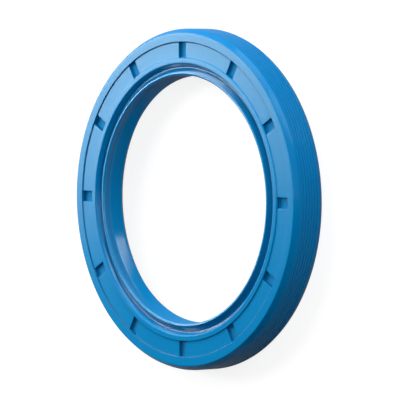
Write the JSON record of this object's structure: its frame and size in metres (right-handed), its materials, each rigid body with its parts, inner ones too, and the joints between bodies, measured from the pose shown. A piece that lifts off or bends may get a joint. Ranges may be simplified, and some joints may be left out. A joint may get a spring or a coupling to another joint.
{
  "type": "radial shaft seal",
  "caption": "Rubber covered ring that seals a turning shaft in a housing bore, with a ribbed rim, a spring loaded sealing lip and a dust lip.",
  "frame": {"origin": "centre of the back rim's plane, on the seal's axis; the seal lies on its oil side", "axes": "+Z along the axis, from the oil side to the air side; +Y through the pocket at the top of the face in the picture"},
  "size_m": [0.0954, 0.0954, 0.01],
  "materials": {
    "blue_rubber": "satin moulded rubber, blue",
    "sheet_steel": "pressed stainless sheet, hidden in the rubber",
    "spring_steel": "bright drawn stainless wire"
  },
  "bodies": {
    "root": {"rubber_body": "blue_rubber", "stiffening_ring": "sheet_steel", "garter_spring": "spring_steel"}
  },
  "joints": []
}
